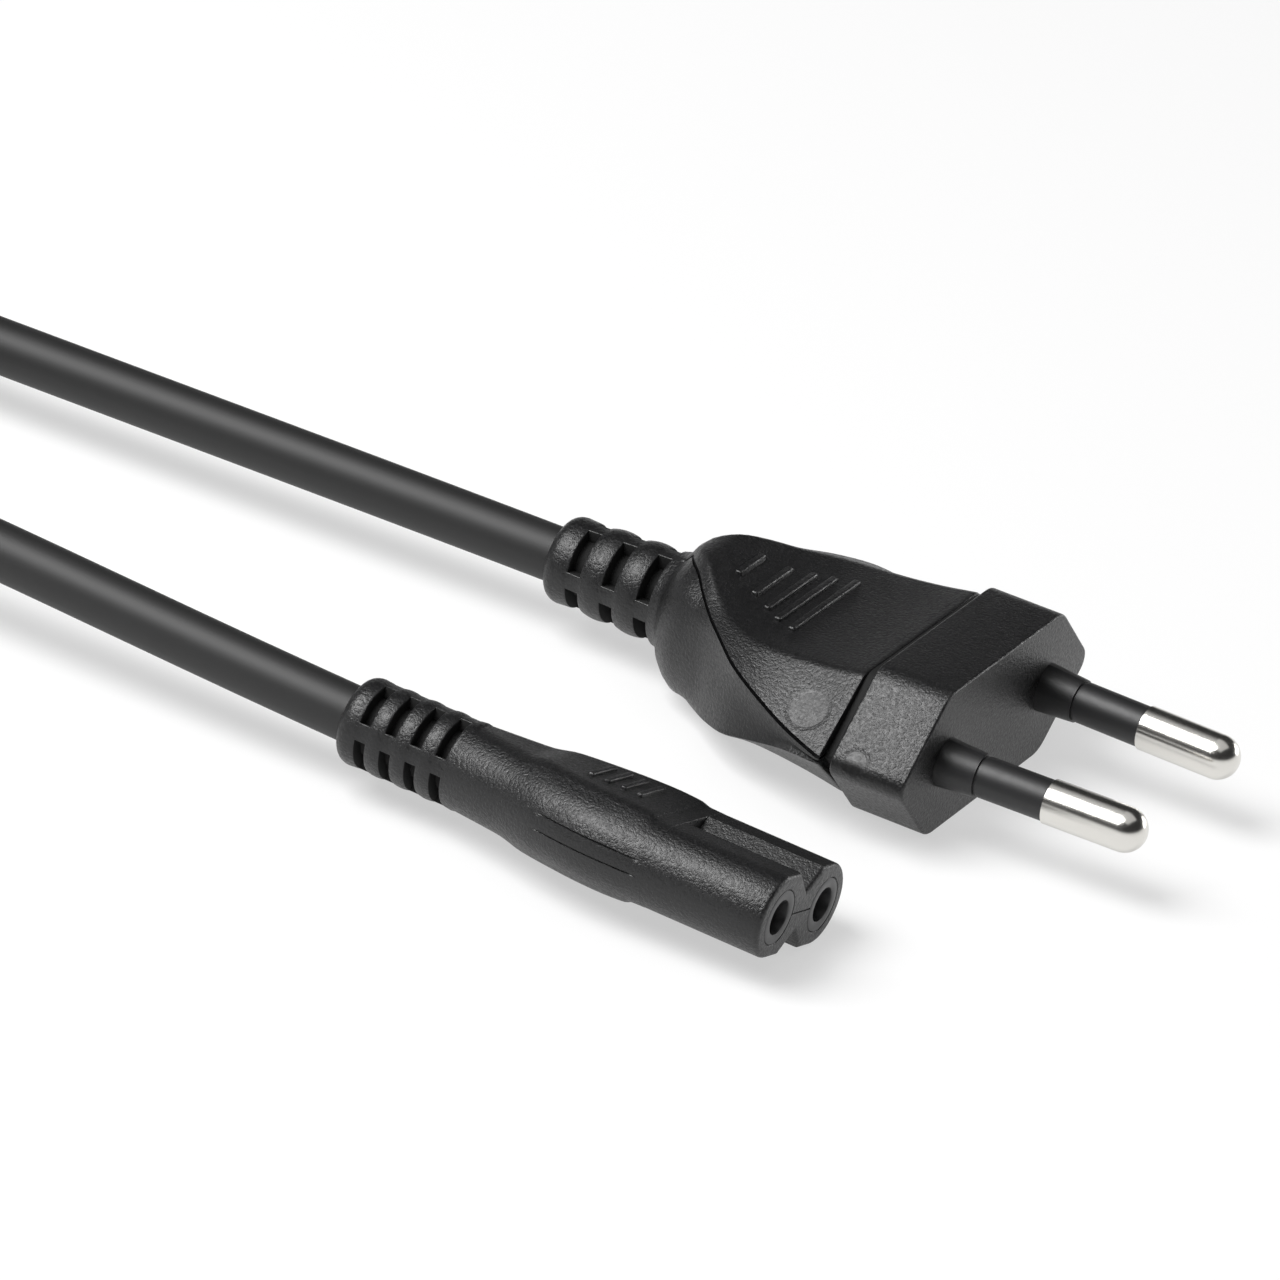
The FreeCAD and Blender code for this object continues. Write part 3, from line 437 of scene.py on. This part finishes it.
# Along the handle: distance from the end face, the lobes' offset and their radius.
HANDLE = [(10.5, 4.3, 3.65), (13.5, 4.3, 3.72), (17.0, 4.15, 3.8), (22.0, 3.2, 3.8),
          (27.0, 1.6, 3.75), (32.3, 0.3, 3.75)]
# Along the grip panel: distance from the end face and the panel's height.
PANEL = [(11.4, 3.65), (12.4, 3.68), (13.3, 4.0), (16.0, 4.13), (24.0, 4.1), (26.5, 3.75),
         (33.0, 3.6)]
# Round a lobe, in degrees. The side seam is sunk at one of them, the panel's ledge is at one.
LOBE = (0, 5, 9.4, 10.6, 11.8, 18, 27, 36, 45, 53, 60, 64.6, 65.2, 70.8, 71.4, 76, 80, 85, 90)
SEAM, LEDGE = LOBE.index(10.6), LOBE.index(70.8)
SEAM_DEEP, LEDGE_TALL = 0.13, 0.18
SEAM_SPAN, LEDGE_SPAN = (11.6, 22.4), (15.6, 23.0)
PANEL_FROM = 50


def nose_ring(inset):
    radius = LOBE_RADIUS - inset
    foot = V_FOOT - inset * math.hypot(V_HALF, V_DEPTH) / V_HALF
    brim = (radius - foot) * V_HALF / V_DEPTH
    quarter = arc(SOCKET_Y, 0, radius, LOBE)
    quarter += line_to((SOCKET_Y, radius), (brim, radius), 3)
    quarter += line_to((brim, radius), (0, foot), 4)
    return around(quarter)


def handle_ring(at, sunk=0.0):
    """Two lobes with a flat between them, the seams in their sides and the panel raised."""
    gap, radius = along(HANDLE, at)
    quarter = arc(gap, 0, radius, LOBE)
    y, z = quarter[SEAM]
    quarter[SEAM] = (y - SEAM_DEEP * between(at, *SEAM_SPAN), z)
    brim = gap * V_HALF / SOCKET_Y
    quarter += line_to((gap, radius), (brim, radius), 3)
    quarter += line_to((brim, radius - sunk), (0, radius - sunk), 4)
    lift = max(0.0, along(PANEL, at)[0] - radius) if at > PANEL[0][0] else 0.0
    ledge = LEDGE_TALL * between(at, *LEDGE_SPAN)
    raised = []
    for i, (y, z) in enumerate(quarter):
        share = 1.0
        if i < len(LOBE):
            share = max(0.0, (LOBE[i] - PANEL_FROM) / (90 - PANEL_FROM))
        raised.append((y, z + (lift - (ledge if i < LEDGE else 0.0)) * ease(share)))
    return around(raised)


bm = bmesh.new()
rings = [(-back, nose_ring(inward)) for back, inward in rounded(NOSE_EDGE, 4)]
rings += [(-at, nose_ring(0)) for at in (3.8, 7.2, NOSE)]
# the V ends in a steep wall
rings += [(-NOSE - more, handle_ring(NOSE + more, sunk))
          for more, sunk in ((0.02, 0.15), (0.08, 0.04), (0.2, 0.0))]
# closer together at the panel's front
rings += [(-at, handle_ring(at)) for at in
          (11.7, 12.1, 12.4, 12.6, 12.8, 13.0, 13.2, 13.4, 13.8, 14.4, 15.2, 16.0, 16.6)]
rings += [(-at, handle_ring(at)) for at in [17.3 + 0.6 * k for k in range(26)]]
tube(bm, rings)
circle = [360 * k / 64 for k in range(64)]
for side in (-1, 1):
    tube(bm, [(-deep, arc(side * SOCKET_Y, 0, radius, circle)) for deep, radius in
              ((0, INSERT_BORE + 0.06), (0.06, INSERT_BORE), (INSERT_DEEP, INSERT_BORE))])
face_edges = [e for e in bm.edges if e.is_boundary and all(abs(v.co.x) < 0.001 for v in e.verts)]
bmesh.ops.triangle_fill(bm, edges=face_edges, use_beauty=True)
# the mould's parting line across the face, between the two holes
for height in (-PARTING_HALF, PARTING_HALF):
    face = [f for f in bm.faces if all(abs(v.co.x) < 0.001 for v in f.verts)]
    edges = {e for f in face for e in f.edges}
    verts = {v for f in face for v in f.verts}
    bmesh.ops.bisect_plane(bm, geom=face + list(edges) + list(verts), plane_co=(0, 0, height),
                           plane_no=(0, 0, 1))
strip = [f for f in bm.faces if all(abs(v.co.x) < 0.001 and abs(v.co.z) < PARTING_HALF + 0.005
                                    and abs(v.co.y) < SOCKET_Y / 2 for v in f.verts)]
made = bmesh.ops.extrude_face_region(bm, geom=strip)["geom"]
bmesh.ops.translate(bm, verts=[v for v in made if isinstance(v, bmesh.types.BMVert)],
                    vec=(-PARTING_DEEP, 0, 0))
bmesh.ops.delete(bm, geom=strip, context="FACES_ONLY")
close_ends(bm)
for at in (20.5, 18.95, 17.4, 15.85):
    ridge(bm, -at, half=2.4, base=along(PANEL, at)[0], wide=0.65, tall=0.32)
relief(bm, tail=-43.1, front=-31.2, radii=(3.9, 3.95), rows=[-33.2 - 2.467 * k for k in range(4)],
       wide=1.0, crown=0.3, collar=0.8)
put_in(bm, "connector_moulding", CONNECTOR, [moulded_pvc, shade_dulled_pvc], "connector_housing")

# The insert: two posts with their sockets show as lighter rims, the web stays behind.
# Each post is spun from its outside, its rounded mouth and its chamber for the contact.
POST, MOUTH, CHAMBER = INSERT_BORE - 0.02, 1.5, 1.85
bm = bmesh.new()
for side in (-1, 1):
    lathe(bm, [(-INSERT_DEEP, 0), (-INSERT_DEEP, POST), (-0.1, POST), (-0.02, POST - 0.06),
               (0.0, POST - 0.14), (0.0, MOUTH + 0.16), (-0.05, MOUTH + 0.05), (-0.16, MOUTH),
               (-2.5, MOUTH), (-2.5, CHAMBER), (-14.0, CHAMBER), (-14.0, 0)], side * SOCKET_Y)
bmesh.ops.remove_doubles(bm, verts=bm.verts, dist=SAME)
web = bmesh.ops.create_cube(bm, size=1)["verts"]
bmesh.ops.transform(bm, verts=web, matrix=Matrix.Translation((-8.4, 0, 0))
                    @ Matrix.Diagonal((14.8, 4.6, 1.6, 1)))
put_in(bm, "socket_insert", CONNECTOR, [polyamide], "connector_insert")

# The plug's moulding: block, groove, pads over a waisted side wall, bell and relief.
# The block's outline runs round a small tip and a larger shoulder, with a facet between.
TIP = (15.481, 0, 1.5)
SHOULDER = (9.295, 3.85, 3.0)
FACET_TURN = 46.23
BLOCK, BLOCK_EDGE, GROOVE = 7.1, 0.25, 1.0
CORE_INSET = 1.2
BODY_FRONT, BODY_REAR = 8.4, 30.0

# Along the body: distance from the end face, half the flat top, the top's height, half the
# width at the pad's lip and the lip's height.
BODY = [(BODY_FRONT, 10.4, 5.75, 17.2, 0.35), (12.0, 10.3, 5.15, 15.95, 0.95),
        (16.0, 10.1, 4.75, 14.5, 2.15), (19.0, 9.8, 4.62, 13.2, 3.2),
        (22.0, 8.5, 4.9, 10.8, 4.1), (24.0, 6.9, 5.4, 8.9, 4.55), (26.0, 5.1, 6.2, 6.7, 5.1),
        (28.0, 2.9, 6.8, 4.3, 5.75), (29.2, 1.7, 6.6, 2.9, 5.7), (BODY_REAR, 0.7, 6.0, 1.5, 5.4)]
# Along the side wall: distance, half the width at its middle and how full its curve is.
WALL = [(BODY_FRONT, 16.75, 1.0), (12.0, 15.45, 1.0), (16.0, 13.95, 1.0), (19.0, 12.7, 0.95),
        (22.0, 10.8, 0.8), (24.0, 9.35, 0.6), (26.0, 8.45, 0.5), (28.3, 7.5, 0.5),
        (BODY_REAR, 6.2, 0.5)]
# Along the bell: distance, half its width and half its height.
BELL = [(BODY_REAR, 6.2, 5.4), (31.0, 4.8, 4.65), (31.5, 4.5, 4.45), (31.9, 4.35, 4.35)]
BELL_BLEND = 1.4
LIP_UNDERCUT, LIP_GROOVE = 0.36, 0.45
CREST_CUT = 0.55


def block_ring(inset):
    y, z, radius = TIP
    quarter = arc(y, z, radius - inset, [FACET_TURN * k / 3 for k in range(4)])
    y, z, radius = SHOULDER
    corner = arc(y, z, radius - inset, (FACET_TURN, 55, 64, 73, 82, 90))
    quarter += line_to(quarter[-1], corner[0], 4) + corner[1:]
    return around(quarter + line_to(corner[-1], (0, corner[-1][1]), 4))


def body_ring(at, inset=0.0):
    """Side wall, groove under the pad's lip, facet, rounded crest, flat top. No groove below."""
    flat, top, side, seam = along(BODY, at)
    middle, bulge = along(WALL, at)
    under = max(0.15, seam - 0.1)
    sole = max(0.05, under - LIP_GROOVE)
    edge = side - 0.04
    wall = [(edge + (middle - edge) * (1 - (k / 8) ** 2) ** bulge, under * k / 8)
            for k in range(9)]
    lip = (side - LIP_UNDERCUT + 0.04, seam + 0.1)
    groove = [(side - 0.12, sole), (lip[0], sole), (side - LIP_UNDERCUT, seam - 0.02), lip]
    plain = [(y, z + 0.02) for y, z in line_to(wall[-1], lip, 4)[:-1]] + [lip]
    corner = Vector((flat, top))
    run = corner - Vector(lip)
    cut = min(CREST_CUT, 0.45 * run.length, 0.45 * flat)
    start = corner - run.normalized() * cut
    crest = line_to(lip, tuple(start), 5)
    for s in (k / 6 for k in range(1, 7)):
        spot = start * (1 - s) ** 2 + corner * 2 * s * (1 - s) + Vector((flat - cut, top)) * s * s
        crest.append(tuple(spot))
    crest += line_to(crest[-1], (0, top), 4)
    above, below = ([(y * (1 - inset / side), z * (1 - inset / top)) for y, z in wall + step + crest]
                    for step in (groove, plain))
    return around(above, below)


def bell_ring(at):
    """Turns the body's last outline into an ellipse on its way to the relief."""
    across, up = along(BELL, at)
    share = ease(min(1.0, (at - BODY_REAR) / BELL_BLEND))
    outline = []
    for y, z in body_ring(BODY_REAR):
        angle = math.atan2(z, y)
        reach = 1 / math.hypot(math.cos(angle) / across, math.sin(angle) / up)
        reach = share * reach + (1 - share) * math.hypot(y, z) * across / BELL[0][1]
        outline.append((reach * math.cos(angle), reach * math.sin(angle)))
    return outline


bm = bmesh.new()
rounding = rounded(BLOCK_EDGE, 5)
rings = [(-back, block_ring(inward)) for back, inward in rounding]
rings += [(back - BLOCK, block_ring(inward)) for back, inward in reversed(rounding)]
tube(bm, rings)
# the core joins block and body in the dark of the groove, in the duller PVC as painted shade
block = set(bm.faces)
tube(bm, [(0.5 - BLOCK, block_ring(CORE_INSET)), (-BODY_FRONT - 0.6, block_ring(CORE_INSET))])
for face in set(bm.faces) - block:
    face.material_index = 1
rings = [(-BLOCK - GROOVE - more, body_ring(BODY_FRONT, inset))
         for more, inset in ((0, 0.2), (0.03, 0.09), (0.1, 0.02), (0.25, 0.0))]
rings.append((-8.6, body_ring(8.6)))
rings += [(-at, body_ring(at)) for at in [9.2 + 0.52 * k for k in range(40)]]
rings += [(-at, bell_ring(at)) for at in
          (BODY_REAR, 30.2, 30.4, 30.6, 30.8, 31.0, 31.2, 31.4, 31.6, BELL[-1][0])]
tube(bm, rings)
close_ends(bm)
for at, half in ((17.6, 6.1), (19.4, 5.3), (20.95, 4.4), (22.8, 3.3), (25.1, 2.3)):
    ridge(bm, -at, half, base=along(BODY, at)[1], wide=0.75, tall=0.34)
relief(bm, tail=-42.9, front=-30.8, radii=(3.9, 4.4), rows=[-32.75 - 3.5 * k for k in range(3)],
       wide=1.25, crown=0.4, collar=0.8)
put_in(bm, "plug_moulding", PLUG, [moulded_pvc, shade_dulled_pvc], "plug_housing")

# The cord: one smooth line from inside the connector's relief to inside the plug's. Its
# middle lies in a coil of two layers, with the turns side by side and over each other.
CORD = 5.0
COIL_X, COIL_Y, OUTER_TURN, INNER_TURN = -134.0, 12.0, 40.3, 20.1
LOW, HIGH = 2.5, 7.7
PER_TURN = 16
# so many turns bring the whole cord to its 1.8 m
TURNS = 8.6606
RISE = 0.7
BEGINS = math.radians(-53.969)
# the turns lift a little over the strap that goes under them, on the coil's far left
TIE_LIFT, TIE_REACH = 0.95, 0.5


def coil_points():
    """Clockwise from above: inwards on the floor, up in the innermost turn, outwards on top."""
    side = (TURNS - RISE) / 2
    # the curve runs inside its control points, so they stand a little further out
    swell = 2 / (1 + math.cos(math.pi / PER_TURN))
    count = round(TURNS * PER_TURN)
    for i in range(count + 1):
        turned = TURNS * i / count
        angle = BEGINS - 2 * math.pi * turned
        if turned <= side:
            radius = OUTER_TURN + (INNER_TURN - OUTER_TURN) * turned / side
            height = LOW
        elif turned < side + RISE:
            share = (turned - side) / RISE
            radius = INNER_TURN - 0.6 * math.sin(math.pi * share)
            height = LOW + (HIGH - LOW) * ease(min(1, 2 * share))
        else:
            radius = INNER_TURN + (OUTER_TURN - INNER_TURN) * (turned - side - RISE) / side
            height = HIGH
        off_tie = abs(math.remainder(angle - math.pi, 2 * math.pi))
        height += TIE_LIFT * ease(max(0.0, 1 - off_tie / TIE_REACH))
        yield (COIL_X + swell * radius * math.cos(angle),
               COIL_Y + swell * radius * math.sin(angle), height)


route = [(-9.731, 0.0, 5.877), (-24.0, 0.0, 6.376), (-66.0, 1.4, 8.35), (-81.986, 1.4, 8.6),
         *coil_points(), (-89.6, 36.9, 6.5), (-75.0, 37.0, 6.6), (-26.0, 37.65, 6.85),
         (-10.2, 37.65, 6.85)]
line = bpy.data.curves.new("cord", "CURVE")
line.dimensions = "3D"
line.bevel_depth = CORD / 2 * MM
line.bevel_resolution = 7
line.use_fill_caps = True
spline = line.splines.new("NURBS")
spline.points.add(len(route) - 1)
for point, (x, y, z) in zip(spline.points, route):
    point.co = (x * MM, y * MM, z * MM, 1)
spline.order_u = 3
spline.use_endpoint_u = True
spline.resolution_u = 6
line.materials.append(jacket_pvc)
cord = bpy.data.objects.new("cord", line)
bpy.context.collection.objects.link(cord)
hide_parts("cord_connector_run", "cord_plug_run", "cord_coil")
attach(cord, "root")

# The floor: matt and pale. To the camera and in reflections it is partly white of itself.
floor_paint, t = new_material("pale floor")
path = put(t, "ShaderNodeLightPath")
matt = put(t, "ShaderNodeBsdfPrincipled", {"Base Color": linear("#f2f2f2"), "Roughness": 0.9})
white = put(t, "ShaderNodeEmission", {"Color": (1, 1, 1, 1), "Strength": 1.0})
shown = put(t, "ShaderNodeMath", {"operation": "MAXIMUM"}, _0=path.outputs["Is Camera Ray"],
            _1=path.outputs["Is Glossy Ray"])
shown = put(t, "ShaderNodeMath", {"operation": "MAXIMUM"}, _0=shown.outputs[0],
            _1=path.outputs["Is Transmission Ray"])
part = put(t, "ShaderNodeMapRange", {"To Min": 0.0, "To Max": 0.55}, Value=shown.outputs[0])
both = put(t, "ShaderNodeMixShader", _0=part.outputs[0], _1=matt.outputs["BSDF"],
           _2=white.outputs["Emission"])
put(t, "ShaderNodeOutputMaterial", Surface=both.outputs["Shader"])
bm = bmesh.new()
bmesh.ops.create_grid(bm, x_segments=1, y_segments=1, size=3.0)
mesh = bpy.data.meshes.new("floor")
bm.to_mesh(mesh)
bm.free()
floor = bpy.data.objects.new("floor", mesh)
floor.data.materials.append(floor_paint)
bpy.context.collection.objects.link(floor)

# The studio: bright near the horizon, dark overhead, so that the flat tops stay dark.
world = bpy.data.worlds.new("studio")
bpy.context.scene.world = world
world.use_nodes = True
world.node_tree.nodes.clear()
t = world.node_tree
toward = put(t, "ShaderNodeTexCoord")
parts = put(t, "ShaderNodeSeparateXYZ", Vector=toward.outputs["Generated"])
level = put(t, "ShaderNodeMapRange", {"From Min": 0.08, "From Max": 0.2, "To Min": 0.9,
                                      "To Max": 0.03}, Value=parts.outputs["Z"])
sky = put(t, "ShaderNodeBackground", {"Color": (1, 1, 1, 1)}, Strength=level.outputs["Result"])
put(t, "ShaderNodeOutputWorld", Surface=sky.outputs["Background"])


def softbox(name, place, width, height, watts):
    """An area light aimed at the space between the two ends. Sizes are in metres."""
    lamp = bpy.data.lights.new(name, "AREA")
    lamp.shape = "RECTANGLE"
    lamp.size = width
    lamp.size_y = height
    lamp.energy = watts
    box = bpy.data.objects.new(name, lamp)
    box.location = place
    box.rotation_euler = (Vector((0, 0.02, 0)) - Vector(place)).to_track_quat("-Z", "Y").to_euler()
    box.visible_camera = False
    bpy.context.collection.objects.link(box)


softbox("main softbox", (-0.34, -0.34, 0.72), 0.55, 0.55, 10)
softbox("overhead softbox", (0.1, 0.0, 1.1), 1.2, 1.2, 2.5)
softbox("side softbox", (0.45, 0.8, 0.16), 0.5, 0.2, 2)

# The camera: a long lens, its place and turn fitted to the pins and the block.
SENSOR = 36
FOCAL_PIXELS, PICTURE_PIXELS = 10300, 1280
lens = bpy.data.cameras.new("camera")
lens.sensor_width = SENSOR
lens.lens = SENSOR * FOCAL_PIXELS / PICTURE_PIXELS
lens.clip_start = 0.05
lens.clip_end = 20
camera = bpy.data.objects.new("camera", lens)
turn = Matrix(((0.862077, -0.335959, 0.379413), (0.486078, 0.336372, -0.806587),
               (0.143356, 0.879765, 0.453281)))
camera.matrix_world = Matrix.Translation((0.324378, -0.681416, 0.406007)) @ turn.to_4x4()
bpy.context.collection.objects.link(camera)
bpy.context.scene.camera = camera
bpy.context.scene.view_settings.view_transform = "Standard"
